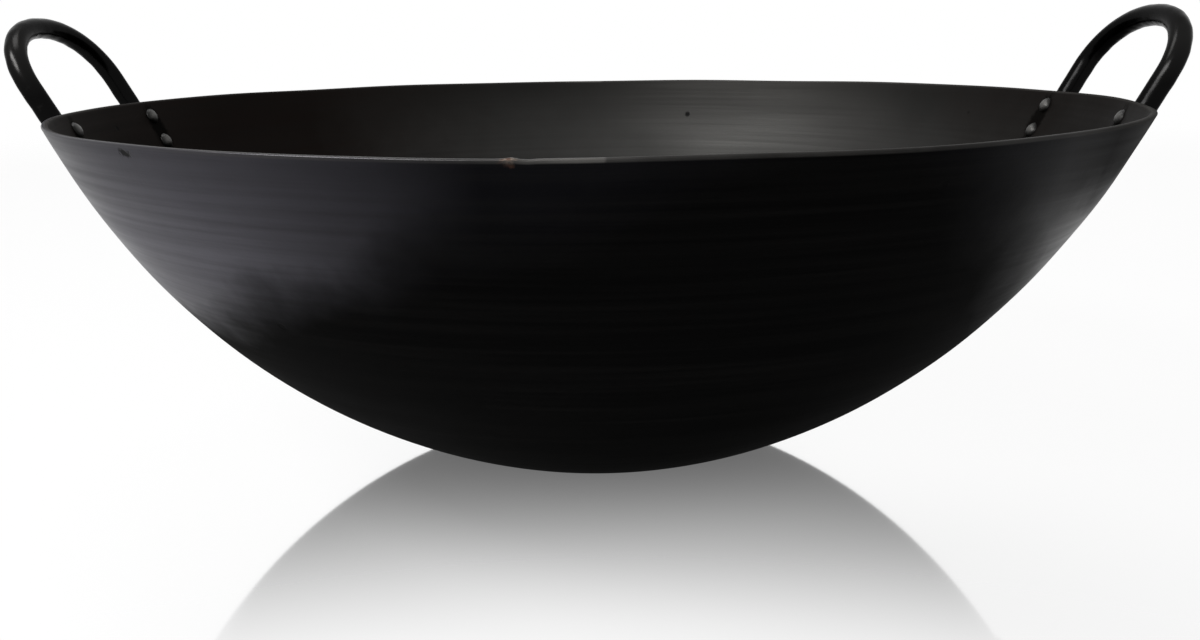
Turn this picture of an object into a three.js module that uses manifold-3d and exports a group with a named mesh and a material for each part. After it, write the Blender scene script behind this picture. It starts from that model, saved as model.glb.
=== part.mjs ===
// Two-eared iron wok: a round-bottomed bowl, two bar handles and eight rivets.
// Millimetres, +Z up. The origin is the middle of the flat spot that the bowl rests on,
// the handles lie on the X axis, and -Y is the front.
import * as THREE from 'three';
import { mergeVertices } from 'three/addons/utils/BufferGeometryUtils.js';
import Module from 'manifold-3d';

// Bowl: its outer wall is one curve from the edge of the flat rest up to the rim.
const RIM_RADIUS = 300;
const BOWL_DEPTH = 212;
const WALL = 3;
const REST_RADIUS = 25;
const RIM_SLOPE = THREE.MathUtils.degToRad(67.4);
const BOTTOM_SWEEP = 36;
const WALL_SWEEP = 197;

// Handles: a round bar, bent into an arch that leans out with the wall.
const BAR_DIAMETER = 12;
const LEG_SPACING = 110;
const HANDLE_LEAN = THREE.MathUtils.degToRad(61.4);
const LEG_RISE = 18.5;
const ARCH_RISE = 37;
const ARCH_FULLNESS = 2.13;

// Feet: the bar's ends, forged flat against the outside of the wall.
const FOOT_WIDTH = 17;
const FOOT_THICKNESS = 5.5;
const FORGE_LENGTH = 5.5;
const FOOT_SQUARENESS = 4;

// Rivets: two for each foot, one below the other, set through foot and wall.
const RIVET_PITCH = 17.5;
const RIVET_DIAMETER = 5.4;
const HEAD_DIAMETER = 10;
const HEAD_HEIGHT = 3;
const HEAD_MARGIN_TOP = 0.5;
const HEAD_MARGIN_END = 4.5;

// Clearances: between faces that lie on each other, and round each rivet in its hole.
const SEAT_GAP = 0.3;
const HOLE_CLEARANCE = 0.3;

// Facets of the round surfaces.
const BOWL_FACETS = 80;
const WALL_STEPS = 18;
const BAR_FACETS = 16;
const FOOT_STEPS = 5;
const FOOT_END_STEPS = 4;
const ARCH_STEPS = 20;
const RIVET_FACETS = 16;
const HEAD_STEPS = 4;

// The upper rivet's head clears the forged shoulder, and the foot ends past the lower one's head.
const RIVET_DROP = FORGE_LENGTH + HEAD_MARGIN_TOP + HEAD_DIAMETER / 2;
const FOOT_LENGTH = RIVET_DROP + RIVET_PITCH + HEAD_DIAMETER / 2 + HEAD_MARGIN_END;

const LATHE_TO_Z = new THREE.Matrix4().makeRotationX(Math.PI / 2);

const wasm = await Module();
wasm.setup();

// Closed triangles as a solid, with shared corners merged and flat triangles left out.
function toSolid(geometry) {
  const bare = geometry.clone();
  bare.deleteAttribute('normal');
  bare.deleteAttribute('uv');
  const merged = mergeVertices(bare, 1e-4);
  const corners = merged.index.array;
  const kept = [];
  for (let i = 0; i < corners.length; i += 3) {
    const [a, b, c] = corners.slice(i, i + 3);
    if (a !== b && b !== c && c !== a) kept.push(a, b, c);
  }
  const vertProperties = new Float32Array(merged.attributes.position.array);
  const triVerts = new Uint32Array(kept);
  return new wasm.Manifold(new wasm.Mesh({ numProp: 3, vertProperties, triVerts }));
}

function toGeometry(solid) {
  const { vertProperties, triVerts } = solid.getMesh();
  const geometry = new THREE.BufferGeometry();
  geometry.setAttribute('position', new THREE.BufferAttribute(vertProperties, 3));
  geometry.setIndex(new THREE.BufferAttribute(triVerts, 1));
  geometry.computeVertexNormals();
  return geometry;
}

function cutHoles(geometry, cutters) {
  return toGeometry(cutters.reduce((solid, cutter) => solid.subtract(toSolid(cutter)), toSolid(geometry)));
}

// Outer wall in the half plane (radius, height). It leaves the rest level and meets the rim at its slope.
const wallCurve = new THREE.CubicBezierCurve(
  new THREE.Vector2(REST_RADIUS, 0),
  new THREE.Vector2(REST_RADIUS + BOTTOM_SWEEP, 0),
  new THREE.Vector2(
    RIM_RADIUS - WALL_SWEEP * Math.cos(RIM_SLOPE),
    BOWL_DEPTH - WALL_SWEEP * Math.sin(RIM_SLOPE),
  ),
  new THREE.Vector2(RIM_RADIUS, BOWL_DEPTH),
);
const WALL_LENGTH = wallCurve.getLength();

// Place on the wall at a distance below the rim, measured along the wall.
function wallAt(drop) {
  const along = 1 - drop / WALL_LENGTH;
  const point = wallCurve.getPointAt(along);
  const tangent = wallCurve.getTangentAt(along);
  return { radius: point.x, height: point.y, slope: Math.atan2(tangent.y, tangent.x) };
}

// Bowl section: out along the underside, over the flat rim and back down the inside.
function bowlSection() {
  const outer = [];
  const inner = [];
  for (let i = 0; i <= WALL_STEPS; i += 1) {
    const point = wallCurve.getPointAt(i / WALL_STEPS);
    const tangent = wallCurve.getTangentAt(i / WALL_STEPS);
    outer.push(point);
    inner.push(new THREE.Vector2(point.x - WALL * tangent.y, point.y + WALL * tangent.x));
  }
  const innerRim = new THREE.Vector2(RIM_RADIUS - WALL / Math.sin(RIM_SLOPE), BOWL_DEPTH);
  const below = inner.filter((point, i) => i < WALL_STEPS && point.y < BOWL_DEPTH);
  const bottom = new THREE.Vector2(0, 0);
  const floor = new THREE.Vector2(0, WALL);
  return [bottom, ...outer, innerRim, ...below.reverse(), floor];
}

// The flat facets of the bowl stand this far inside its true round surface.
const STEP_LENGTH = WALL_LENGTH / WALL_STEPS;
const TURN_PER_STEP = RIM_SLOPE / WALL_STEPS;
const FACET_SAG = RIM_RADIUS * (1 - Math.cos(Math.PI / BOWL_FACETS)) + (STEP_LENGTH * TURN_PER_STEP) / 8;

// Leg side of a handle on +X: the plane of the leg stands at this distance from the X axis.
const LEG_OFFSET = LEG_SPACING / 2;

// Centre of a foot's section, lifted off the wall and kept in the leg's plane, with its directions:
// out of the wall, up along the wall, and across the foot.
function footFrame(drop, lift, legSide) {
  const { radius, height, slope } = wallAt(drop);
  const reach = radius + lift * Math.sin(slope);
  const azimuth = Math.asin((legSide * LEG_OFFSET) / reach);
  const outward = new THREE.Vector3(Math.cos(azimuth), Math.sin(azimuth), 0);
  const out = outward.clone().multiplyScalar(Math.sin(slope)).setZ(-Math.cos(slope));
  const up = outward.clone().multiplyScalar(Math.cos(slope)).setZ(Math.sin(slope));
  const centre = outward.clone().multiplyScalar(reach).setZ(height - lift * Math.cos(slope));
  return { centre, out, up };
}

// Sections of one foot from its rounded end up to the rim, where it is the round bar again.
function footSections(legSide) {
  const sections = [];
  const add = (drop, halfWidth, flatness) => {
    const thickness = THREE.MathUtils.lerp(BAR_DIAMETER, FOOT_THICKNESS, flatness);
    const frame = footFrame(drop, SEAT_GAP + thickness / 2, legSide);
    const squareness = THREE.MathUtils.lerp(2, FOOT_SQUARENESS, flatness);
    sections.push({ ...frame, halfWidth, halfThickness: thickness / 2, squareness });
  };
  const endRadius = FOOT_WIDTH / 2;
  for (let i = 1; i <= FOOT_END_STEPS; i += 1) {
    const angle = (i / FOOT_END_STEPS) * (Math.PI / 2);
    add(FOOT_LENGTH - endRadius * (1 - Math.cos(angle)), endRadius * Math.sin(angle), 1);
  }
  const flatTop = FORGE_LENGTH;
  const flatBottom = FOOT_LENGTH - endRadius;
  for (let i = 1; i <= FOOT_STEPS; i += 1) {
    add(THREE.MathUtils.lerp(flatBottom, flatTop, i / FOOT_STEPS), endRadius, 1);
  }
  for (let i = 1; i <= FOOT_STEPS; i += 1) {
    const flatness = 1 - THREE.MathUtils.smoothstep(i / FOOT_STEPS, 0, 1);
    const halfWidth = THREE.MathUtils.lerp(BAR_DIAMETER / 2, endRadius, flatness);
    add(flatTop * (1 - i / FOOT_STEPS), halfWidth, flatness);
  }
  return sections;
}

// Sections of the arch from the back leg to the front leg. It starts where the legs reach the rim,
// rises straight and then follows a superellipse in the leaning plane of the handle.
function archSections() {
  const start = footFrame(0, SEAT_GAP + BAR_DIAMETER / 2, 1).centre;
  const rise = new THREE.Vector3(Math.cos(HANDLE_LEAN), 0, Math.sin(HANDLE_LEAN));
  const out = new THREE.Vector3(Math.sin(HANDLE_LEAN), 0, -Math.cos(HANDLE_LEAN));
  const across = new THREE.Vector3(0, 1, 0);
  const halfWidth = BAR_DIAMETER / 2;
  const round = { out, halfWidth, halfThickness: halfWidth, squareness: 2 };
  const sections = [];
  for (let i = 0; i <= ARCH_STEPS; i += 1) {
    const angle = (i / ARCH_STEPS) * Math.PI;
    const side = Math.sign(Math.cos(angle)) * Math.abs(Math.cos(angle)) ** (2 / ARCH_FULLNESS);
    const top = Math.abs(Math.sin(angle)) ** (2 / ARCH_FULLNESS);
    const centre = start.clone().setY(LEG_OFFSET * side);
    centre.addScaledVector(rise, LEG_RISE + ARCH_RISE * top);
    const climb = (Math.sign(side) * Math.abs(side) ** (ARCH_FULLNESS - 1)) / LEG_OFFSET;
    const sweep = top ** (ARCH_FULLNESS - 1) / ARCH_RISE;
    const up = rise.clone().multiplyScalar(climb).addScaledVector(across, -sweep).normalize();
    sections.push({ ...round, centre, up });
  }
  return sections;
}

// Corners of one section: a superellipse across the direction in which the bar runs.
function sectionCorners({ centre, out, up, halfWidth, halfThickness, squareness }) {
  const across = new THREE.Vector3().crossVectors(out, up);
  return Array.from({ length: BAR_FACETS }, (_, i) => {
    const angle = (i / BAR_FACETS) * 2 * Math.PI;
    const wide = Math.sign(Math.cos(angle)) * Math.abs(Math.cos(angle)) ** (2 / squareness);
    const thick = Math.sign(Math.sin(angle)) * Math.abs(Math.sin(angle)) ** (2 / squareness);
    const corner = centre.clone().addScaledVector(across, halfWidth * wide);
    return corner.addScaledVector(out, halfThickness * thick);
  });
}

// Closed skin over a row of sections, with a fan over each end.
function loft(sections) {
  const corners = sections.flatMap(sectionCorners);
  const faces = [];
  for (let ring = 0; ring < sections.length - 1; ring += 1) {
    for (let i = 0; i < BAR_FACETS; i += 1) {
      const next = (i + 1) % BAR_FACETS;
      const a = ring * BAR_FACETS + i;
      const b = ring * BAR_FACETS + next;
      faces.push(a, b, b + BAR_FACETS, a, b + BAR_FACETS, a + BAR_FACETS);
    }
  }
  const last = (sections.length - 1) * BAR_FACETS;
  for (let i = 1; i < BAR_FACETS - 1; i += 1) {
    faces.push(0, i + 1, i);
    faces.push(last, last + i, last + i + 1);
  }
  const geometry = new THREE.BufferGeometry();
  geometry.setAttribute('position', new THREE.Float32BufferAttribute(corners.flatMap((p) => p.toArray()), 3));
  geometry.setIndex(faces);
  return geometry;
}

// The whole bar: up the back foot, over the arch and down the front foot.
function handleBar() {
  const frontFoot = footSections(-1).reverse();
  const turned = frontFoot.map((section) => ({ ...section, up: section.up.clone().negate() }));
  return loft([...footSections(1), ...archSections(), ...turned]);
}

// Rivet seats of the handle on +X. A rivet stands square to the wall, and its zero lies on the wall's face.
const LEGS = [1, -1];
const RIVET_ROWS = [
  { row: 'upper', drop: RIVET_DROP },
  { row: 'lower', drop: RIVET_DROP + RIVET_PITCH },
];
const rivetSeats = LEGS.flatMap((legSide) => RIVET_ROWS.map(({ row, drop }) => {
  const lift = SEAT_GAP + FOOT_THICKNESS / 2;
  const { centre, out } = footFrame(drop, lift, legSide);
  const position = centre.addScaledVector(out, -lift);
  const turn = new THREE.Quaternion().setFromUnitVectors(new THREE.Vector3(0, 1, 0), out);
  return { legSide, row, position, turn };
}));

// Rivet: a shank with a domed head on the inside of the wall and another on the outside of the foot.
function rivetShape() {
  const insideSeat = -WALL - FACET_SAG - SEAT_GAP;
  const outsideSeat = SEAT_GAP + FOOT_THICKNESS + SEAT_GAP;
  const headRadius = HEAD_DIAMETER / 2;
  const domeRadius = (headRadius ** 2 + HEAD_HEIGHT ** 2) / (2 * HEAD_HEIGHT);
  const domeAngle = Math.acos(1 - HEAD_HEIGHT / domeRadius);
  const dome = Array.from({ length: HEAD_STEPS + 1 }, (_, i) => {
    const angle = (domeAngle * i) / HEAD_STEPS;
    return { radius: domeRadius * Math.sin(angle), rise: HEAD_HEIGHT - domeRadius * (1 - Math.cos(angle)) };
  });
  const inside = dome.map(({ radius, rise }) => new THREE.Vector2(radius, insideSeat - rise));
  const outside = dome.map(({ radius, rise }) => new THREE.Vector2(radius, outsideSeat + rise));
  const shankRadius = RIVET_DIAMETER / 2;
  const shank = [new THREE.Vector2(shankRadius, insideSeat), new THREE.Vector2(shankRadius, outsideSeat)];
  return new THREE.LatheGeometry([...inside, ...shank, ...outside.reverse()], RIVET_FACETS);
}

// Drills for the rivet holes, long enough to pass the wall and the whole bar.
const DRILL_REACH = WALL + SEAT_GAP + BAR_DIAMETER;
const drill = new THREE.CylinderGeometry(
  RIVET_DIAMETER / 2 + HOLE_CLEARANCE,
  RIVET_DIAMETER / 2 + HOLE_CLEARANCE,
  2 * DRILL_REACH,
  RIVET_FACETS,
);
const handleDrills = rivetSeats.map(({ position, turn }) => (
  drill.clone().applyQuaternion(turn).translate(position.x, position.y, position.z)
));
const HALF_TURN = new THREE.Matrix4().makeRotationZ(Math.PI);
const bowlDrills = [...handleDrills, ...handleDrills.map((cut) => cut.clone().applyMatrix4(HALF_TURN))];

const seasonedIron = new THREE.MeshStandardMaterial({ color: 0x1f1d1c, roughness: 0.48, metalness: 0.75 });
const barIron = new THREE.MeshStandardMaterial({ color: 0x161616, roughness: 0.36, metalness: 0.7 });
const rivetIron = new THREE.MeshStandardMaterial({ color: 0x2b2a28, roughness: 0.42, metalness: 0.8 });

const wok = new THREE.Group();

const bowlShape = new THREE.LatheGeometry(bowlSection(), BOWL_FACETS).applyMatrix4(LATHE_TO_Z);
const bowl = new THREE.Mesh(cutHoles(bowlShape, bowlDrills), seasonedIron.clone());
bowl.name = 'bowl';
wok.add(bowl);

const handleShape = cutHoles(handleBar(), handleDrills);
const rivet = toGeometry(toSolid(rivetShape()));

// One ear with its rivets. The left ear is the right one after half a turn about Z,
// which swaps its front and back legs.
function makeEar(side, turn, legNames) {
  const ear = new THREE.Group();
  ear.rotation.z = turn;
  const handle = new THREE.Mesh(handleShape, barIron.clone());
  handle.name = `handle_${side}`;
  ear.add(handle);
  for (const seat of rivetSeats) {
    const mesh = new THREE.Mesh(rivet, rivetIron.clone());
    mesh.name = `rivet_${side}_${legNames[seat.legSide]}_${seat.row}`;
    mesh.position.copy(seat.position);
    mesh.quaternion.copy(seat.turn);
    ear.add(mesh);
  }
  return ear;
}

wok.add(makeEar('right', 0, { 1: 'back', [-1]: 'front' }));
wok.add(makeEar('left', Math.PI, { 1: 'front', [-1]: 'back' }));

export default wok;
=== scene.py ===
import math

import bpy
import numpy as np
from mathutils import Matrix, Vector


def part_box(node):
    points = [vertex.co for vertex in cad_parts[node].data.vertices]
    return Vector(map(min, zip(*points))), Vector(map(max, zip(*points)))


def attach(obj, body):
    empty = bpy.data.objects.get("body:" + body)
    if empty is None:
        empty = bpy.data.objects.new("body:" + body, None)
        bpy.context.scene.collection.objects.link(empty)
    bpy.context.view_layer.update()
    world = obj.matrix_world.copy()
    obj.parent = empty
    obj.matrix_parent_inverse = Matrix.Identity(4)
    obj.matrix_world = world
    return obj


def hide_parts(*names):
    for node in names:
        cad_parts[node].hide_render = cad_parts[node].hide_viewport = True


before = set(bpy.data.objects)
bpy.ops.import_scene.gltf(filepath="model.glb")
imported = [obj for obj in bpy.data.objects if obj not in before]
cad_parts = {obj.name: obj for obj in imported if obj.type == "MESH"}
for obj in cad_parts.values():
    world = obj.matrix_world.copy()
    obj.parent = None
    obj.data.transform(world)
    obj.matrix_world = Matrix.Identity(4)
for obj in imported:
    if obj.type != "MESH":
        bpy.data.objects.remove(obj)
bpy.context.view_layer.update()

scene = bpy.context.scene
scene.view_settings.view_transform = "Standard"

# Camera
# The wok is seen from close in front and from a little above its rim, so the near rim
# stands well below the far one. The view is turned and rolled by less than one degree.
photo_width = 1200
focal_length_pixels = 1129.8
camera_place = Vector((0.0016, -0.6845, 0.2539))
camera_turn = math.radians(0.16)
camera_tilt = math.radians(14.42)
camera_roll = math.radians(-0.71)

camera_data = bpy.data.cameras.new("camera")
camera_data.sensor_fit = "HORIZONTAL"
camera_data.lens = camera_data.sensor_width * focal_length_pixels / photo_width
camera = bpy.data.objects.new("camera", camera_data)
scene.collection.objects.link(camera)
camera.matrix_world = (
    Matrix.Translation(camera_place)
    @ Matrix.Rotation(camera_turn, 4, "Z")
    @ Matrix.Rotation(math.pi / 2 - camera_tilt, 4, "X")
    @ Matrix.Rotation(camera_roll, 4, "Z")
)
scene.camera = camera


# Floor
# A pale sheet under a polish, which mirrors the bowl where it is seen from low down. It is a wide
# disc whose edge fades out into the white surroundings, so no horizon shows from any side.
floor_radius = 3.0
floor_fade_start = 1.6
floor_drop = 0.0003
floor_colour = (0.80, 0.80, 0.80, 1.0)
contact_inner = 0.05
contact_outer = 0.17
contact_least = 0.8
white_least = 0.15
white_most = 0.78
white_steep = 0.30
white_grazing = 0.52
polish_share = 0.80
polish_steep = 0.475
polish_grazing = 0.655
polish_roughness = 0.05


def add_node(tree, kind, inputs=None, **settings):
    """Adds one shader node. Settings are its properties. Inputs are constants or linked sockets, by
    name or place."""
    node = tree.nodes.new(kind)
    for name, value in settings.items():
        setattr(node, name, value)
    for name, value in (inputs or {}).items():
        if isinstance(value, bpy.types.NodeSocket):
            tree.links.new(value, node.inputs[name])
        else:
            node.inputs[name].default_value = value
    return node


def start_material(name):
    """A new node material with only its output node. Returns the material, its tree and the surface
    socket."""
    material = bpy.data.materials.new(name)
    material.use_nodes = True
    tree = material.node_tree
    tree.nodes.clear()
    output = tree.nodes.new("ShaderNodeOutputMaterial")
    return material, tree, output.inputs["Surface"]


def number(tree, operation, first, second):
    """One step of arithmetic on two numbers or sockets."""
    return add_node(tree, "ShaderNodeMath", {0: first, 1: second}, operation=operation).outputs[0]


def vector_step(tree, operation, *values):
    """One step of arithmetic on vectors. A length or a distance comes back as a number."""
    node = add_node(tree, "ShaderNodeVectorMath", dict(enumerate(values)), operation=operation)
    return node.outputs["Value" if operation in ("LENGTH", "DISTANCE") else "Vector"]


def spread(tree, value, low, high, to_low=0.0, to_high=1.0, curve="LINEAR"):
    """Maps a span of a value to another span, held at its ends, along a straight or a smooth curve."""
    return add_node(tree, "ShaderNodeMapRange", {
        "Value": value,
        "From Min": low,
        "From Max": high,
        "To Min": to_low,
        "To Max": to_high,
    }, interpolation_type=curve).outputs["Result"]


def seen_rays(tree):
    """One for the rays that picture a surface, straight from the camera or by way of gloss or glass,
    and zero for those that only carry light."""
    path = add_node(tree, "ShaderNodeLightPath")
    shiny = number(tree, "MAXIMUM", path.outputs["Is Glossy Ray"], path.outputs["Is Transmission Ray"])
    return number(tree, "MAXIMUM", shiny, path.outputs["Is Camera Ray"])


def mix_shaders(tree, factor, first, second):
    """Shader between two others, by a factor from zero to one."""
    return add_node(tree, "ShaderNodeMixShader", {0: factor, 1: first, 2: second}).outputs[0]


def skin(name, rows, material, start_pole=None, end_pole=None):
    """A smooth mesh over a grid of points: each row is a closed ring, neighbouring rings are joined by
    quads, and a pole, where one is given, closes the first or the last ring with a fan of triangles."""
    ring_count, ring_size = rows.shape[:2]
    points = rows.reshape(-1, 3)
    here = np.arange(ring_size)
    after = (here + 1) % ring_size
    base = (np.arange(ring_count - 1) * ring_size)[:, None]
    quads = np.stack([base + here, base + after, base + ring_size + after, base + ring_size + here], axis=-1)
    corners = [quads.reshape(-1)]
    sizes = [np.full((ring_count - 1) * ring_size, 4)]
    last = (ring_count - 1) * ring_size
    for pole, first, second in ((start_pole, after, here), (end_pole, last + here, last + after)):
        if pole is not None:
            points = np.vstack([points, pole])
            fan = np.stack([np.full(ring_size, len(points) - 1), first, second], axis=-1)
            corners.append(fan.reshape(-1))
            sizes.append(np.full(ring_size, 3))
    corners = np.concatenate(corners)
    sizes = np.concatenate(sizes)
    mesh = bpy.data.meshes.new(name)
    mesh.vertices.add(len(points))
    mesh.vertices.foreach_set("co", points.astype(np.float32).reshape(-1))
    mesh.loops.add(len(corners))
    mesh.loops.foreach_set("vertex_index", corners.astype(np.int32))
    mesh.polygons.add(len(sizes))
    mesh.polygons.foreach_set("loop_start", np.concatenate([[0], np.cumsum(sizes)[:-1]]).astype(np.int32))
    mesh.update(calc_edges=True)
    mesh.validate()
    mesh.polygons.foreach_set("use_smooth", np.ones(len(mesh.polygons), dtype=bool))
    mesh.materials.append(material)
    piece = bpy.data.objects.new(name, mesh)
    scene.collection.objects.link(piece)
    return piece


def polar_rings(radii, height, count):
    """Flat rings about the Z axis at the given radii, all at one height."""
    turn = np.linspace(0.0, 2.0 * np.pi, count, endpoint=False)
    ring = np.stack([np.cos(turn), np.sin(turn), np.zeros(count)], axis=-1)
    return np.asarray(radii)[:, None, None] * ring + np.array([0.0, 0.0, height])


def floor_material():
    """Pale sheet that is partly plain white where it is pictured, the more so at a grazing look and
    less at the foot of the wok, which keeps a soft shade there. The polish over it mirrors at a grazing
    look and not at a steep one. Its opacity falls from one to nothing between two radii."""
    material, tree, surface = start_material("pale_floor")
    place = add_node(tree, "ShaderNodeTexCoord").outputs["Object"]
    distance = vector_step(tree, "LENGTH", place)
    grazing = add_node(tree, "ShaderNodeLayerWeight", {"Blend": 0.5}).outputs["Facing"]
    paleness = spread(tree, grazing, white_steep, white_grazing, white_least, white_most, "SMOOTHSTEP")
    clearing = spread(tree, distance, contact_inner, contact_outer, contact_least, 1.0, "SMOOTHSTEP")
    whiteness = number(tree, "MULTIPLY", seen_rays(tree), number(tree, "MULTIPLY", paleness, clearing))
    matte = add_node(tree, "ShaderNodeBsdfDiffuse", {"Color": floor_colour}).outputs[0]
    white = add_node(tree, "ShaderNodeEmission", {"Color": (1.0, 1.0, 1.0, 1.0), "Strength": 1.0}).outputs[0]
    sheet = mix_shaders(tree, whiteness, matte, white)
    mirror = add_node(tree, "ShaderNodeBsdfAnisotropic", {
        "Color": (1.0, 1.0, 1.0, 1.0),
        "Roughness": polish_roughness,
    }).outputs[0]
    polish = spread(tree, grazing, polish_steep, polish_grazing, 0.0, polish_share, "SMOOTHSTEP")
    polished = mix_shaders(tree, polish, sheet, mirror)
    fade = spread(tree, distance, floor_fade_start, floor_radius, curve="SMOOTHERSTEP")
    clear = add_node(tree, "ShaderNodeBsdfTransparent").outputs[0]
    tree.links.new(mix_shaders(tree, fade, polished, clear), surface)
    return material


floor_rings = polar_rings(np.linspace(floor_radius, 0.1, 12), -floor_drop, 96)
floor = skin("floor", floor_rings, floor_material(), end_pole=np.array([[0.0, 0.0, -floor_drop]]))


# Light
# A large soft box high on the left in front of the wok and a smaller, weaker one high behind it on
# the left, in a white room that gives an even, dim light.
def soft_box(name, place, target, width, height, watts):
    """A rectangular white area lamp at a place, facing a target. It isn't pictured itself, and shows
    only in reflections."""
    lamp_data = bpy.data.lights.new(name, "AREA")
    lamp_data.shape = "RECTANGLE"
    lamp_data.size = width
    lamp_data.size_y = height
    lamp_data.energy = watts
    lamp = bpy.data.objects.new(name, lamp_data)
    lamp.visible_camera = False
    lamp.location = place
    lamp.rotation_euler = (Vector(target) - Vector(place)).to_track_quat("-Z", "Y").to_euler()
    scene.collection.objects.link(lamp)


soft_box("key_box", (-0.90, -0.68, 1.31), (0.05, 0.15, 0.17), 1.0, 0.4, 30.5)
soft_box("top_box", (-0.45, 0.50, 1.6), (0.10, 0.0, 0.20), 0.7, 0.5, 6.6)

room_light = 0.22


def white_surroundings():
    """White where they are pictured, straight or in gloss and glass, and an even, dim light otherwise."""
    world = bpy.data.worlds.new("surroundings")
    world.use_nodes = True
    tree = world.node_tree
    tree.nodes.clear()
    output = tree.nodes.new("ShaderNodeOutputWorld")
    strength = number(tree, "MAXIMUM", seen_rays(tree), room_light)
    light = add_node(tree, "ShaderNodeBackground", {"Color": (1.0, 1.0, 1.0, 1.0), "Strength": strength})
    tree.links.new(light.outputs[0], output.inputs["Surface"])
    return world


scene.world = white_surroundings()


# Bowl
# One shell of thin black iron, pressed round and trued on a wheel, with a plain cut rim. Years of
# oil have baked on it, browner inside. Painted shade darkens it below, on the right, inside towards
# the rim, near the handles and round the rivets; a painted sheen greys its left flank; and the rim is
# lighter along its left half, partly scoured to the metal and partly a painted highlight.
rim_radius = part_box("bowl")[1].x
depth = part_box("bowl")[1].z
wall = 0.003
rest_radius = 0.025
rim_slope = math.radians(67.4)
bottom_sweep = 0.036
wall_sweep = 0.197
rim_rounding = 0.0008
bowl_columns = 640
wall_rows = 60
edge_rows = 7
rest_rows = 4
chip_turn = math.radians(-95.7)
pit_turn = math.radians(-129.2)
pit_drop = 0.004


def wall_curve(steps):
    """Outer wall in the half plane (radius, height): a cubic Bezier curve that leaves the flat rest
    level and meets the rim at its slope. Returns points evenly spaced along it, the unit tangents
    there and the distances travelled."""
    controls = np.array([
        (rest_radius, 0.0),
        (rest_radius + bottom_sweep, 0.0),
        (rim_radius - wall_sweep * math.cos(rim_slope), depth - wall_sweep * math.sin(rim_slope)),
        (rim_radius, depth),
    ])
    share = np.linspace(0.0, 1.0, 4000)[:, None]
    rest = 1.0 - share
    weights = np.hstack([rest ** 3, 3 * share * rest ** 2, 3 * share ** 2 * rest, share ** 3])
    fine = weights @ controls
    travelled = np.concatenate([[0.0], np.cumsum(np.linalg.norm(np.diff(fine, axis=0), axis=1))])
    stops = np.linspace(0.0, travelled[-1], steps)
    points = np.stack([np.interp(stops, travelled, fine[:, k]) for k in (0, 1)], axis=-1)
    slopes = np.gradient(fine, travelled, axis=0)
    tangents = np.stack([np.interp(stops, travelled, slopes[:, k]) for k in (0, 1)], axis=-1)
    return points, tangents / np.linalg.norm(tangents, axis=1, keepdims=True), stops


def rounded_corner(corner, towards_start, towards_end, radius, steps):
    """Arc that rounds a corner: its centre lies on the bisector of the two sides, and it touches both."""
    half = 0.5 * math.acos(float(towards_start @ towards_end))
    bisector = (towards_start + towards_end) / np.linalg.norm(towards_start + towards_end)
    centre = corner + bisector * radius / math.sin(half)
    reach = radius / math.tan(half)
    first = corner + towards_start * reach - centre
    second = corner + towards_end * reach - centre
    swing = np.linspace(0.0, math.pi - 2.0 * half, steps)[:, None]
    across = second - first * (first @ second) / radius ** 2
    across *= radius / np.linalg.norm(across)
    return centre + np.cos(swing) * first + np.sin(swing) * across


def bowl_section():
    """Half section of the shell from the middle of its underside, up the wall, over the rounded rim
    and down the inside. Returns the points, their distances along the wall, and one for each point
    inside and zero for each outside."""
    outer, tangents, travelled = wall_curve(wall_rows)
    inward = np.stack([-tangents[:, 1], tangents[:, 0]], axis=-1)
    inner = outer + wall * inward
    top = np.array([rim_radius - wall / math.sin(rim_slope), depth])
    down = -np.array([math.cos(rim_slope), math.sin(rim_slope)])
    outer_edge = rounded_corner(outer[-1], down, np.array([-1.0, 0.0]), rim_rounding, edge_rows)
    inner_edge = rounded_corner(top, np.array([1.0, 0.0]), down, rim_rounding, edge_rows)
    below = inner[:, 1] < inner_edge[-1, 1] - 0.001
    flat = np.linspace(0.2, 0.9, rest_rows)[:, None] * np.array([rest_radius, 0.0])
    inner_flat = flat[::-1] + np.array([0.0, wall])
    outside = np.vstack([flat, outer[:-1], outer_edge])
    inside = np.vstack([inner_edge, inner[below][::-1], inner_flat])
    length = travelled[-1]
    outside_way = np.concatenate([np.zeros(rest_rows), travelled[:-1], np.full(edge_rows, length)])
    inside_way = np.concatenate([np.full(edge_rows, length), travelled[below][::-1], np.zeros(rest_rows)])
    side = np.concatenate([np.zeros(len(outside)), np.ones(len(inside))])
    return np.vstack([outside, inside]), np.concatenate([outside_way, inside_way]), side


def hand_work(turn, height):
    """How far hand work leaves the shell from a true round: a few low waves round the rim that die out
    towards the bottom and at the handles, a slight lean to the left below, and a small burr at the
    chip. Returns the outward and the upward offsets."""
    share = np.clip(height / depth, 0.0, 1.0)
    free = np.clip((np.abs(np.sin(turn)) - 0.22) / 0.2, 0.0, 1.0)
    free = free ** 2 * (3.0 - 2.0 * free)
    waves = 0.0006 * np.cos(turn + 0.8) + 0.0004 * np.cos(2 * turn + 0.4) + 0.0003 * np.cos(3 * turn + 1.9)
    dents = 0.00016 * np.sin(9 * turn + 31.0 * share) + 0.00012 * np.sin(13 * turn - 23.0 * share + 1.3)
    lean = -0.0010 * np.cos(turn) * np.sin(math.pi * share)
    upward = 0.0004 * np.cos(2 * turn) + 0.0002 * np.cos(9 * turn + 0.3) + 0.00012 * np.cos(14 * turn + 1.1)
    ridge = 0.0005 * np.exp(-((turn - chip_turn) / 0.007) ** 2)
    notch = 0.0003 * np.exp(-((turn - chip_turn - 0.02) / 0.01) ** 2)
    burr = ridge - notch
    return free * (waves * share ** 2 + dents * share) + lean, upward * share ** 8 + burr * share ** 60


def add_attribute(piece, name, values):
    """Stores one number or vector for each vertex, for the material to read."""
    kind, field = ("FLOAT", "value") if values.ndim == 1 else ("FLOAT_VECTOR", "vector")
    layer = piece.data.attributes.new(name, kind, "POINT")
    layer.data.foreach_set(field, values.astype(np.float32).reshape(-1))


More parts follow.
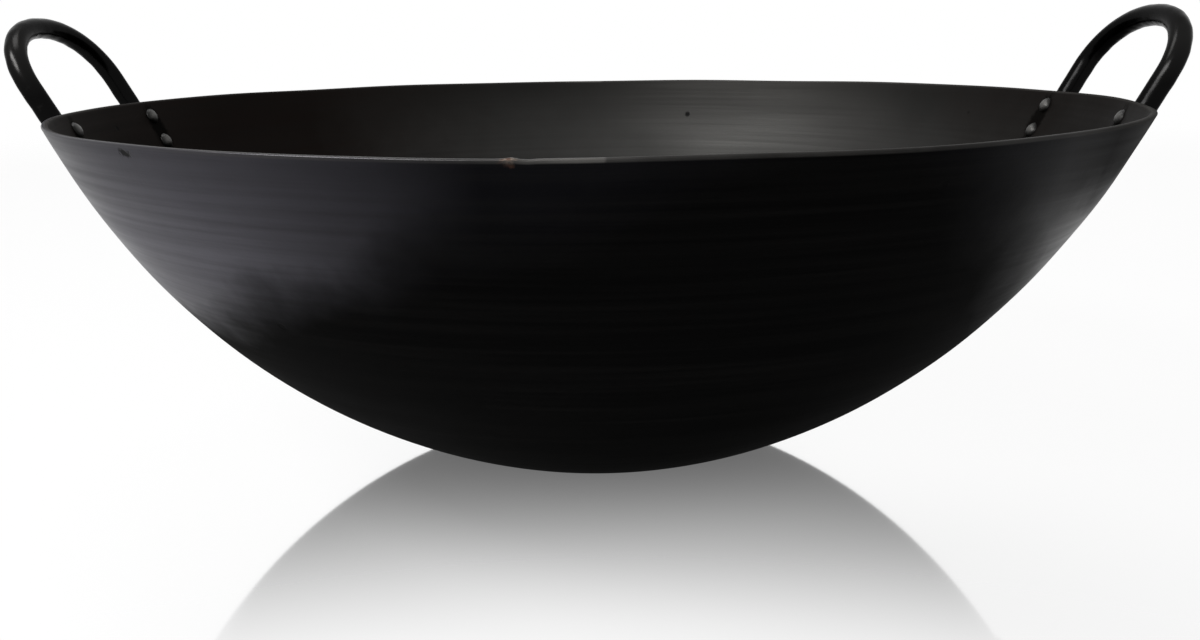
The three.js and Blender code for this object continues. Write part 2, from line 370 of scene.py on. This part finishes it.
def blend_colours(tree, factor, first, second):
    """Colour between two others, by a factor from zero to one."""
    return add_node(tree, "ShaderNodeMix", {0: factor, 6: first, 7: second}, data_type="RGBA").outputs[2]


def noise(tree, place, scale, detail, roughness=0.5):
    """Cloudy noise from zero to one, at so many waves a metre."""
    return add_node(tree, "ShaderNodeTexNoise", {
        "Vector": place,
        "Scale": scale,
        "Detail": detail,
        "Roughness": roughness,
    }).outputs[0]


def rim_spot(spot_turn, drop):
    """Place on the outside of the wall, at a turn about the axis and a distance below the rim."""
    radius = rim_radius - drop * math.cos(rim_slope)
    return (radius * math.cos(spot_turn), radius * math.sin(spot_turn), depth - drop * math.sin(rim_slope))


def round_spot(tree, place, centre, radius, edge, ragged, length=1.0):
    """One inside a ball about a centre and zero outside it, with a soft edge that a noise makes ragged.
    The ball is drawn out level, to so many times its height."""
    squeeze = (1.0 / length, 1.0 / length, 1.0)
    squeezed_centre = tuple(np.multiply(centre, squeeze))
    squeezed = vector_step(tree, "MULTIPLY", place, squeeze)
    distance = vector_step(tree, "DISTANCE", squeezed, squeezed_centre)
    torn = number(tree, "ADD", distance, spread(tree, ragged, 0.3, 0.7, -radius * 0.45, radius * 0.45))
    return spread(tree, torn, radius + edge, radius - edge)


def rivet_shadow(tree, place, inside, ragged):
    """Painted shadow round each pair of rivet heads inside: one within a long ball about the middle of the
    pair, and the same at all four legs because it is reckoned from the sizes of the coordinates."""
    pair_middle = (0.2835, 0.0545, 0.1955)
    ball_shape = (40.0, 150.0, 68.0)
    offset = vector_step(tree, "SUBTRACT", vector_step(tree, "ABSOLUTE", place), pair_middle)
    away = vector_step(tree, "LENGTH", vector_step(tree, "MULTIPLY", offset, ball_shape))
    torn = number(tree, "ADD", away, spread(tree, ragged, 0.3, 0.7, -0.2, 0.2))
    return number(tree, "MULTIPLY", spread(tree, torn, 1.25, 0.75), inside)


def seasoned_iron():
    """Black iron under baked oil: cloudy blue-black outside and brown-black inside, crossed by faint
    turning lines. Outside, a painted sheen greys the upper left flank, and painted shade makes the
    bottom and the right darker, where they are also rougher and less metallic. Inside, painted shade
    darkens it towards the rim, near the handles and round the rivets, and it is rougher near the
    handles. The rim is lighter on its left half, partly scoured to the metal and partly a painted
    highlight, and there are pits and one small rusty chip."""
    material, tree, surface = start_material("seasoned_iron")
    place = add_node(tree, "ShaderNodeTexCoord").outputs["Object"]
    axes = add_node(tree, "ShaderNodeSeparateXYZ", {0: place})
    turning = add_node(tree, "ShaderNodeAttribute", attribute_name="turning").outputs["Vector"]
    inside = add_node(tree, "ShaderNodeAttribute", attribute_name="inside").outputs["Fac"]
    near_rim = add_node(tree, "ShaderNodeAttribute", attribute_name="near_rim").outputs["Fac"]

    lines_place = add_node(tree, "ShaderNodeMapping", {"Vector": turning, "Scale": (1.3, 1.3, 260.0)})
    lines = noise(tree, lines_place.outputs[0], 1.0, 4.0, 0.6)
    broad_place = add_node(tree, "ShaderNodeMapping", {"Vector": turning, "Scale": (1.1, 1.1, 34.0)})
    bands = noise(tree, broad_place.outputs[0], 1.0, 3.0)
    clouds = noise(tree, place, 11.0, 5.0, 0.6)
    grain = noise(tree, place, 420.0, 3.0)
    outside = number(tree, "SUBTRACT", 1.0, inside)
    drift = spread(tree, clouds, 0.3, 0.7, -0.022, 0.022)
    across = number(tree, "ADD", axes.outputs["X"], drift)
    climb = number(tree, "ADD", axes.outputs["Z"], number(tree, "MULTIPLY", drift, 0.5))
    # Painted shade: inside, near the handles the iron is darker and browner, and it is rougher there too.
    dull_shade_left = spread(tree, across, -0.08, -0.22)
    dull_shade_right = spread(tree, across, 0.235, 0.32)
    dull_and_shaded = number(tree, "MULTIPLY", number(tree, "MAXIMUM", dull_shade_left, dull_shade_right), inside)
    leftward = number(tree, "ADD", axes.outputs["X"], number(tree, "MULTIPLY", drift, 0.3))
    # Painted sheen: a bluish grey patch over the upper left flank outside, weaker near the rim.
    left_turn = number(tree, "POWER", spread(tree, leftward, -0.04, -0.21), 1.2)
    slanted = number(tree, "SUBTRACT", climb, number(tree, "MULTIPLY", axes.outputs["X"], 0.38))
    left_sheen_flank = number(tree, "MULTIPLY", left_turn, spread(tree, slanted, 0.180, 0.216))
    sheen_under_rim = spread(tree, axes.outputs["Z"], 0.165, 0.206, 1.0, 0.54)
    painted_sheen = number(tree, "MULTIPLY", number(tree, "MULTIPLY", left_sheen_flank, sheen_under_rim), outside)
    # Painted shade: outside, the bottom, the right and the wall under the right ear are darker, and also
    # rougher and less metallic.
    rightward = number(tree, "ADD", leftward, number(tree, "MULTIPLY", climb, 0.8))
    shade_left_edge = spread(tree, slanted, 0.211, 0.179)
    shade_right_edge = spread(tree, rightward, 0.325, 0.270)
    right_end = spread(tree, axes.outputs["X"], 0.190, 0.222)
    shade_under_right_ear = number(tree, "MULTIPLY", right_end, spread(tree, climb, 0.165, 0.195, 0.0, 0.7))
    shade_below = number(tree, "MINIMUM", shade_left_edge, shade_right_edge)
    shade_below_right = number(tree, "MULTIPLY", number(tree, "MAXIMUM", shade_below, shade_under_right_ear), outside)
    # Painted shade: the inside grows darker towards the rim.
    rim_shade_inside = spread(tree, axes.outputs["Z"], 0.163, 0.206, 0.0, 0.72)

    outer_colour = blend_colours(tree, clouds, (0.0024, 0.0024, 0.0029, 1.0), (0.0048, 0.0048, 0.0057, 1.0))
    inner_colour = blend_colours(tree, clouds, (0.0166, 0.0164, 0.0157, 1.0), (0.0292, 0.0288, 0.0277, 1.0))
    # Painted shade inside: towards the rim and near the handles.
    rim_shaded_colour = blend_colours(tree, rim_shade_inside, inner_colour, (0.0062, 0.0059, 0.0055, 1.0))
    handle_shaded_colour = blend_colours(tree, dull_and_shaded, rim_shaded_colour, (0.0072, 0.0055, 0.0048, 1.0))
    # Painted sheen on the left flank outside, then painted shade below and on the right.
    sheen_colour = blend_colours(tree, painted_sheen, outer_colour, (0.112, 0.109, 0.127, 1.0))
    shaded_colour = blend_colours(tree, shade_below_right, sheen_colour, (0.0023, 0.0023, 0.0023, 1.0))
    iron = blend_colours(tree, inside, shaded_colour, handle_shaded_colour)
    line_share = spread(tree, lines, 0.40, 0.75, 0.0, 0.30)
    lined = blend_colours(tree, line_share, iron, (0.010, 0.0097, 0.0093, 1.0))

    cells = add_node(tree, "ShaderNodeTexVoronoi", {"Vector": place, "Scale": 38.0})
    cell_number = add_node(tree, "ShaderNodeSeparateColor", {0: cells.outputs["Color"]}).outputs[0]
    chosen = spread(tree, cell_number, 0.78, 0.80)
    small_pits = number(tree, "MULTIPLY", spread(tree, cells.outputs["Distance"], 0.10, 0.055), chosen)
    large_pit = round_spot(tree, place, rim_spot(pit_turn, pit_drop), 0.0015, 0.0004, grain, 2.6)
    pits = number(tree, "MAXIMUM", small_pits, large_pit)
    # Painted shadow round the rivet heads inside.
    rivet_shade = rivet_shadow(tree, place, inside, grain)
    rivet_shaded = blend_colours(tree, rivet_shade, lined, (0.0025, 0.0022, 0.0020, 1.0))
    pitted = blend_colours(tree, pits, rivet_shaded, (0.003, 0.003, 0.003, 1.0))

    # The rim is lighter along its left half, fading out to the right: partly scoured to the metal, partly a
    # painted highlight.
    on_rim = spread(tree, near_rim, 0.89, 0.985)
    left_half = spread(tree, axes.outputs["X"], 0.0036, 0.0024)
    wear_and_highlight_end = spread(tree, axes.outputs["X"], -0.035, -0.006, 0.48, 1.5)
    rim_wear_and_highlight = number(tree, "MULTIPLY", wear_and_highlight_end, spread(tree, left_half, 0.0, 1.0, 0.40, 1.0))
    bare_and_highlight = number(tree, "MULTIPLY", on_rim, rim_wear_and_highlight)
    rubbed_and_highlight = number(tree, "MULTIPLY", bare_and_highlight, spread(tree, clouds, 0.35, 0.65, 0.35, 1.0))
    worn_and_highlit = blend_colours(tree, number(tree, "MULTIPLY", rubbed_and_highlight, 0.75), pitted, (0.072, 0.0695, 0.066, 1.0))

    chip = round_spot(tree, place, rim_spot(chip_turn, -0.0012), 0.0034, 0.0012, grain)
    speckle = spread(tree, grain, 0.42, 0.58)
    rust = blend_colours(tree, speckle, (0.050, 0.026, 0.018, 1.0), (0.150, 0.118, 0.095, 1.0))
    coloured = blend_colours(tree, number(tree, "MULTIPLY", chip, 0.8), worn_and_highlit, rust)

    cloud_share = number(tree, "MULTIPLY", clouds, 0.45)
    cloudy_bands = number(tree, "ADD", number(tree, "MULTIPLY", bands, 0.55), cloud_share)
    rough_base = spread(tree, cloudy_bands, 0.35, 0.65, 0.31, 0.42)
    rough_lines = number(tree, "ADD", rough_base, spread(tree, lines, 0.3, 0.7, -0.03, 0.04))
    rough_inside = number(tree, "ADD", rough_lines, number(tree, "MULTIPLY", inside, 0.08))
    rough_shaded = number(tree, "ADD", rough_inside, number(tree, "MULTIPLY", shade_below_right, 0.28))
    rough_dull = number(tree, "ADD", rough_shaded, number(tree, "MULTIPLY", dull_and_shaded, 0.24))
    rim_dull = number(tree, "MULTIPLY", on_rim, spread(tree, left_half, 0.0, 1.0, 0.15, 0.0))
    rough = number(tree, "ADD", rough_dull, rim_dull)
    relief = number(tree, "ADD", number(tree, "MULTIPLY", lines, 0.55), number(tree, "MULTIPLY", grain, 0.25))
    pitted_relief = number(tree, "SUBTRACT", relief, number(tree, "MULTIPLY", pits, 1.5))
    bump = add_node(tree, "ShaderNodeBump", {"Strength": 0.35, "Distance": 0.00025, "Height": pitted_relief})
    # Less metallic under the painted shade outside and the painted shadow round the rivets.
    bare_metal = spread(tree, number(tree, "MAXIMUM", shade_below_right, rivet_shade), 0.0, 1.0, 1.0, 0.35)
    shader = add_node(tree, "ShaderNodeBsdfPrincipled", {
        "Base Color": coloured,
        "Roughness": rough,
        "Metallic": bare_metal,
        "Specular IOR Level": 0.0,
        "Specular Tint": (0.63, 0.63, 0.63, 1.0),
        "Normal": bump.outputs[0],
    })
    tree.links.new(shader.outputs[0], surface)
    return material


section, way_up_wall, side = bowl_section()
turn = np.linspace(-np.pi, np.pi, bowl_columns, endpoint=False)
outward, upward = hand_work(turn[None, :], section[:, 1:2])
radius = section[:, 0:1] + outward
bowl_rings = np.stack([radius * np.cos(turn), radius * np.sin(turn), section[:, 1:2] + upward], axis=-1)
bowl = skin(
    "bowl_shell",
    bowl_rings,
    seasoned_iron(),
    start_pole=np.array([[0.0, 0.0, 0.0]]),
    end_pole=np.array([[0.0, 0.0, wall]]),
)
ring_way = np.repeat(way_up_wall[:, None], bowl_columns, axis=1)
turning = np.stack([
    np.broadcast_to(np.cos(turn), ring_way.shape),
    np.broadcast_to(np.sin(turn), ring_way.shape),
    ring_way,
], axis=-1)
rim_share = np.exp(-(ring_way.max() - ring_way) / 0.006)
add_attribute(bowl, "turning", np.vstack([turning.reshape(-1, 3), np.zeros((2, 3))]))
add_attribute(bowl, "inside", np.concatenate([np.repeat(side, bowl_columns), [0.0, 1.0]]))
add_attribute(bowl, "near_rim", np.concatenate([rim_share.reshape(-1), [0.0, 0.0]]))
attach(bowl, "root")
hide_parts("bowl")


# Handles
# Each ear is one round bar, bent hot into an arch that leans out with the wall. Its two ends are
# hammered flat, rounded and riveted to the outside of the wall below the rim.
leg_offset = 0.055
handle_lean = math.radians(61.4)
leg_rise = 0.0185
arch_rise = 0.037
arch_fullness = 2.13
foot_width = 0.017
foot_thickness = 0.0055
forge_length = 0.0055
foot_squareness = 4.0
rivet_drop = 0.011
rivet_pitch = 0.0175
foot_length = 0.038
foot_seat = 0.0001
bar_columns = 40
bar_diameters = {"left": 0.0116, "right": 0.0124}


def wall_at(drop):
    """Place on the outer wall at distances below the rim: radius, height and slope there."""
    points, tangents, travelled = wall_curve(800)
    stop = travelled[-1] - np.asarray(drop)
    radius = np.interp(stop, travelled, points[:, 0])
    height = np.interp(stop, travelled, points[:, 1])
    slope = np.interp(stop, travelled, np.arctan2(tangents[:, 1], tangents[:, 0]))
    return radius, height, slope


def foot_frames(drop, lift, leg_side):
    """Centres and directions along a foot on the +X side: points lifted off the wall along its normal,
    all in the leg's upright plane. Returns the centres, the directions out of the wall and the
    directions up along it."""
    radius, height, slope = wall_at(drop)
    reach = radius + lift * np.sin(slope)
    sine = leg_side * leg_offset / reach
    cosine = np.sqrt(1.0 - sine ** 2)
    out = np.stack([cosine * np.sin(slope), sine * np.sin(slope), -np.cos(slope)], axis=-1)
    up = np.stack([cosine * np.cos(slope), sine * np.cos(slope), np.sin(slope)], axis=-1)
    centre = np.stack([reach * cosine, reach * sine, height - lift * np.cos(slope)], axis=-1)
    return centre, out, up


def foot_rings(bar_diameter, leg_side):
    """Stations of one foot from its rounded end to the rim, where it has become the round bar: centre,
    out, up, half width, half thickness and squareness of the section."""
    end_radius = foot_width / 2
    angle = np.linspace(0.06, 0.5, 9) * math.pi
    end_drop = foot_length - end_radius * (1.0 - np.cos(angle))
    flat_drop = np.linspace(foot_length - end_radius, forge_length, 10)[1:]
    neck_drop = np.linspace(forge_length, 0.0, 12)[1:]
    drop = np.concatenate([end_drop, flat_drop, neck_drop])
    share = np.clip(drop / forge_length, 0.0, 1.0)
    flatness = share ** 2 * (3.0 - 2.0 * share)
    thickness = bar_diameter + (foot_thickness - bar_diameter) * flatness
    thickness = thickness * np.concatenate([0.72 + 0.28 * np.sin(angle), np.ones(len(drop) - len(angle))])
    width = bar_diameter + (foot_width - bar_diameter) * flatness
    width = width * np.concatenate([np.sin(angle), np.ones(len(drop) - len(angle))])
    squareness = 2.0 + (foot_squareness - 2.0) * flatness
    centre, out, up = foot_frames(drop, foot_seat + thickness / 2, leg_side)
    return centre, out, up, width / 2, thickness / 2, squareness


def arch_rings(bar_diameter):
    """Stations of the arch from the back leg to the front leg: a superellipse in the leaning plane, on
    straight legs that start where the feet reach the rim."""
    start = foot_frames(np.array([0.0]), foot_seat + bar_diameter / 2, 1)[0][0]
    rise = np.array([math.cos(handle_lean), 0.0, math.sin(handle_lean)])
    out = np.array([math.sin(handle_lean), 0.0, -math.cos(handle_lean)])
    across = np.array([0.0, 1.0, 0.0])
    angle = np.linspace(0.0, math.pi, 97)
    side = np.sign(np.cos(angle)) * np.abs(np.cos(angle)) ** (2 / arch_fullness)
    top = np.abs(np.sin(angle)) ** (2 / arch_fullness)
    straight = np.linspace(0.0, 1.0, 9)[1:-1] * leg_rise
    lift = np.concatenate([straight, leg_rise + arch_rise * top, straight[::-1]])
    sway = np.concatenate([np.ones(len(straight)), side, -np.ones(len(straight))]) * leg_offset
    centre = start * np.array([1.0, 0.0, 1.0]) + lift[:, None] * rise + sway[:, None] * across
    climb = np.sign(side) * np.abs(side) ** (arch_fullness - 1) / leg_offset
    sweep = top ** (arch_fullness - 1) / arch_rise
    bend = climb[:, None] * rise - sweep[:, None] * across
    up = np.vstack([np.tile(rise, (len(straight), 1)), bend, np.tile(-rise, (len(straight), 1))])
    up = up / np.linalg.norm(up, axis=1, keepdims=True)
    count = len(centre)
    half = np.full(count, bar_diameter / 2)
    return centre, np.tile(out, (count, 1)), up, half, half, np.full(count, 2.0)


def handle_rings(bar_diameter):
    """Rings of the whole bar: up the back foot, over the arch and down the front foot. Each ring is a
    superellipse, square to the bar, with slight hammer marks as low waves along and round it."""
    back = foot_rings(bar_diameter, 1)
    front = [values[::-1] for values in foot_rings(bar_diameter, -1)]
    front[2] = -front[2]
    stations = [np.concatenate(parts) for parts in zip(back, arch_rings(bar_diameter), front)]
    centre, out, up, half_width, half_thickness, squareness = stations
    across = np.cross(out, up)
    angle = np.linspace(0.0, 2.0 * np.pi, bar_columns, endpoint=False)[None, :]
    power = 2.0 / squareness[:, None]
    wide = np.sign(np.cos(angle)) * np.abs(np.cos(angle)) ** power
    thick = np.sign(np.sin(angle)) * np.abs(np.sin(angle)) ** power
    along = np.concatenate([[0.0], np.cumsum(np.linalg.norm(np.diff(centre, axis=0), axis=1))])[:, None]
    marks = 1.0 + 0.010 * np.sin(2 * angle + 410.0 * along) + 0.007 * np.sin(3 * angle - 690.0 * along + 0.6)
    flat_side = np.where(thick < 0.0, 1.0, marks)
    offset = (half_width[:, None] * wide * marks)[..., None] * across[:, None, :]
    offset = offset + (half_thickness[:, None] * thick * flat_side)[..., None] * out[:, None, :]
    return centre[:, None, :] + offset


def bar_iron():
    """Smooth black bar: nearly even colour under a semi-gloss, with flecks of fine scale, and a little
    lighter round its front bend, partly polished by the hand that closes there and partly a painted
    highlight."""
    material, tree, surface = start_material("bar_iron")
    place = add_node(tree, "ShaderNodeTexCoord").outputs["Object"]
    clouds = noise(tree, place, 30.0, 4.0)
    grain = noise(tree, place, 700.0, 3.0)
    scale_marks = noise(tree, place, 130.0, 5.0, 0.65)
    colour = blend_colours(tree, clouds, (0.0030, 0.0030, 0.0031, 1.0), (0.0062, 0.0061, 0.0060, 1.0))
    flecks = spread(tree, scale_marks, 0.62, 0.74, 0.0, 0.5)
    flecked = blend_colours(tree, flecks, colour, (0.016, 0.0156, 0.0150, 1.0))
    axes = add_node(tree, "ShaderNodeSeparateXYZ", {0: place})
    # Lighter round the front bend: partly polished by the hand, partly a painted highlight.
    front_bend = spread(tree, axes.outputs["Y"], -0.022, -0.046)
    grip_and_highlight = number(tree, "MULTIPLY", front_bend, spread(tree, axes.outputs["Z"], 0.222, 0.246, 0.0, 0.8))
    rubbed_and_highlight = blend_colours(tree, grip_and_highlight, flecked, (0.0150, 0.0147, 0.0144, 1.0))
    cloudy_rough = spread(tree, clouds, 0.3, 0.7, 0.19, 0.27)
    rough = number(tree, "ADD", cloudy_rough, spread(tree, grain, 0.3, 0.7, -0.02, 0.03))
    fine_relief = number(tree, "MULTIPLY", grain, 0.2)
    relief = number(tree, "ADD", number(tree, "MULTIPLY", scale_marks, 0.7), fine_relief)
    bump = add_node(tree, "ShaderNodeBump", {"Strength": 0.30, "Distance": 0.0003, "Height": relief})
    shader = add_node(tree, "ShaderNodeBsdfPrincipled", {
        "Base Color": rubbed_and_highlight,
        "Roughness": rough,
        "Metallic": 1.0,
        "Specular Tint": (0.55, 0.55, 0.55, 1.0),
        "Normal": bump.outputs[0],
    })
    tree.links.new(shader.outputs[0], surface)
    return material


def turned_half(points):
    """The same points after half a turn about the Z axis, which takes the right ear to the left."""
    return points * np.array([-1.0, -1.0, 1.0])


bar_finish = bar_iron()
for ear, diameter in bar_diameters.items():
    rings = handle_rings(diameter)
    if ear == "left":
        rings = turned_half(rings)
    handle = skin(
        f"handle_{ear}_bar",
        rings,
        bar_finish,
        start_pole=rings[0].mean(axis=0, keepdims=True),
        end_pole=rings[-1].mean(axis=0, keepdims=True),
    )
    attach(handle, "root")
    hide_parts(f"handle_{ear}")


# Rivets
# Eight iron rivets, two in each foot, pushed through foot and wall and hammered over, so that each
# has a low round head inside the bowl and another on the outside of the foot.
rivet_radius = 0.0027
head_radius = 0.005
head_height = 0.003
head_edge = 0.0004
rivet_columns = 48


def rivet_section():
    """Half section of a rivet along its axis, whose zero lies on the outer wall: a dome under the inside
    of the wall, the shank, and a dome over the foot. A dome is a round cap that stands on a short
    upright edge."""
    cap_height = head_height - head_edge
    cap_radius = (head_radius ** 2 + cap_height ** 2) / (2.0 * cap_height)
    angle = np.linspace(0.08, 1.0, 12) * math.asin(head_radius / cap_radius)
    dome_radius = cap_radius * np.sin(angle)
    dome_height = head_edge + cap_height - cap_radius * (1.0 - np.cos(angle))
    dome_radius = np.concatenate([dome_radius, [head_radius, head_radius * 0.97]])
    dome_height = np.concatenate([dome_height, [head_edge * 0.4, 0.0]])
    inside_seat = -wall
    outside_seat = foot_seat + foot_thickness
    inside = np.stack([dome_radius, inside_seat - dome_height], axis=-1)
    shank = np.array([(rivet_radius, inside_seat), (rivet_radius, outside_seat)])
    outside = np.stack([dome_radius, outside_seat + dome_height], axis=-1)[::-1]
    return np.vstack([inside, shank, outside])


def rivet_rings(position, axis, twist):
    """The section turned about the rivet's axis. Hammer blows leave the heads slightly out of round, a
    little different at each twist."""
    profile = rivet_section()
    side_way = np.cross(np.array([0.0, 0.0, 1.0]), axis)
    side_way = side_way / np.linalg.norm(side_way)
    third = np.cross(axis, side_way)
    angle = np.linspace(0.0, 2.0 * np.pi, rivet_columns, endpoint=False)[None, :]
    blows = 1.0 + 0.022 * np.cos(3 * angle + twist) + 0.016 * np.cos(5 * angle + 2.3 * twist)
    radius = profile[:, 0:1] * blows
    ring = radius[..., None] * (np.cos(angle)[..., None] * side_way + np.sin(angle)[..., None] * third)
    return position + ring + profile[:, 1][:, None, None] * axis


def rivet_iron():
    """Hammered iron, a little brighter than the bar: patchy dark skin, lighter in patches on the crowns of
    the heads, partly scuffed and partly a painted highlight, and fine dents.
    """
    material, tree, surface = start_material("rivet_iron")
    place = add_node(tree, "ShaderNodeTexCoord").outputs["Object"]
    clouds = noise(tree, place, 240.0, 4.0)
    dents = noise(tree, place, 520.0, 2.0)
    crown = add_node(tree, "ShaderNodeAttribute", attribute_name="crown").outputs["Fac"]
    # Lighter crowns on the heads, in patches: partly scuffed, partly a painted highlight.
    patches = spread(tree, clouds, 0.3, 0.7, 0.45, 1.0)
    rubbed_and_highlight = number(tree, "MULTIPLY", spread(tree, crown, 0.12, 0.60), patches)
    colour = blend_colours(tree, rubbed_and_highlight, (0.006, 0.0057, 0.0053, 1.0), (0.085, 0.0830, 0.0795, 1.0))
    rough = spread(tree, clouds, 0.3, 0.7, 0.48, 0.36)
    bump = add_node(tree, "ShaderNodeBump", {"Strength": 0.45, "Distance": 0.0004, "Height": dents})
    shader = add_node(tree, "ShaderNodeBsdfPrincipled", {
        "Base Color": colour,
        "Roughness": rough,
        "Metallic": 0.8,
        "Normal": bump.outputs[0],
    })
    tree.links.new(shader.outputs[0], surface)
    return material


rivet_finish = rivet_iron()
leg_names = {"right": {1: "back", -1: "front"}, "left": {1: "front", -1: "back"}}
rows = {"upper": rivet_drop, "lower": rivet_drop + rivet_pitch}
twist = 0.0
for ear, legs in leg_names.items():
    for leg_side, leg in legs.items():
        for row, drop in rows.items():
            lift = foot_seat + foot_thickness / 2
            centre, out = (values[0] for values in foot_frames(np.array([drop]), lift, leg_side)[:2])
            seat = centre - lift * out
            if ear == "left":
                seat = turned_half(seat)
                out = turned_half(out)
            twist += 0.9
            rings = rivet_rings(seat, out, twist)
            node = f"rivet_{ear}_{leg}_{row}"
            rivet = skin(
                f"{node}_hammered",
                rings,
                rivet_finish,
                start_pole=seat + out * (-wall - head_height),
                end_pole=seat + out * (foot_seat + foot_thickness + head_height),
            )
            crown = 1.0 - rivet_section()[:, 0] / head_radius
            add_attribute(rivet, "crown", np.concatenate([np.repeat(crown, rivet_columns), [1.0, 1.0]]))
            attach(rivet, "root")
            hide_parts(node)
